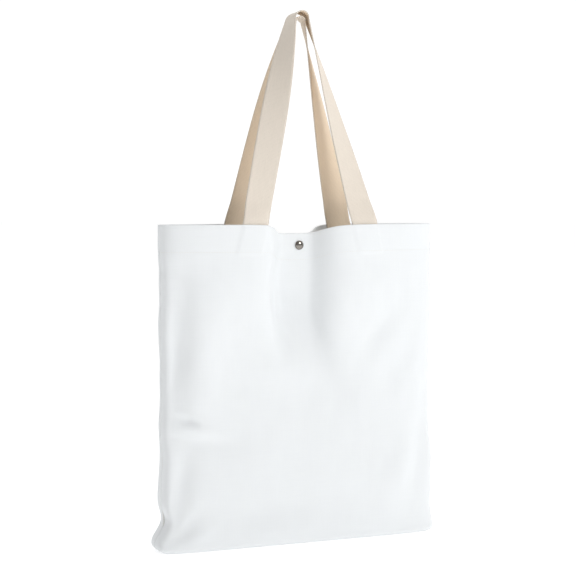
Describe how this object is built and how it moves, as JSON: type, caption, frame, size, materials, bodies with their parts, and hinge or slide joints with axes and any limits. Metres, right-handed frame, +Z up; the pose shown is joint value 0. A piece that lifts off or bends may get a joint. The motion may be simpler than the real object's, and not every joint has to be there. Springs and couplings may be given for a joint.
{
  "type": "canvas tote bag",
  "caption": "Flat upright canvas shopper with a boxed base, a turned hem closed by a domed press snap, and long webbing handles that swing down.",
  "frame": {"origin": "centre of the base, on the surface the bag stands on", "axes": "+X across the bag's width, -Y to its front with the domed snap cap, +Z up to the handles"},
  "size_m": [0.38, 0.077, 0.6972],
  "materials": {
    "canvas": "matt bleached cotton canvas, plain weave",
    "overlock": "overlocked canvas seam allowance",
    "thread": "spun cotton thread",
    "webbing": "unbleached cotton webbing",
    "gunmetal": "polished dark nickel plate",
    "nickel": "bright nickel plate",
    "spring_wire": "drawn steel wire"
  },
  "bodies": {
    "front": {"front_panel": "canvas", "left_side_seam": "overlock", "right_side_seam": "overlock", "bottom_seam": "overlock", "front_hem_stitching": "thread", "front_handle_ends": "webbing", "snap_cap": "gunmetal", "snap_socket": "nickel", "snap_spring": "spring_wire"},
    "rear": {"rear_panel": "canvas", "rear_hem_stitching": "thread", "rear_handle_ends": "webbing", "snap_stud": "nickel", "snap_post": "gunmetal"},
    "front_loop": {"front_handle": "webbing"},
    "rear_loop": {"rear_handle": "webbing"}
  },
  "joints": [
    {"name": "mouth_open", "type": "hinge", "parent": "front", "child": "rear", "pos_m": [0, 0.03, 0], "axis": [-1, 0, 0], "range_deg": [0, 6]},
    {"name": "front_handle_swing", "type": "hinge", "parent": "front", "child": "front_loop", "pos_m": [0, -0.0395, 0.422], "axis": [1, 0, 0], "range_deg": [0, 178]},
    {"name": "rear_handle_swing", "type": "hinge", "parent": "rear", "child": "rear_loop", "pos_m": [0, 0.0395, 0.422], "axis": [-1, 0, 0], "range_deg": [0, 178]}
  ]
}
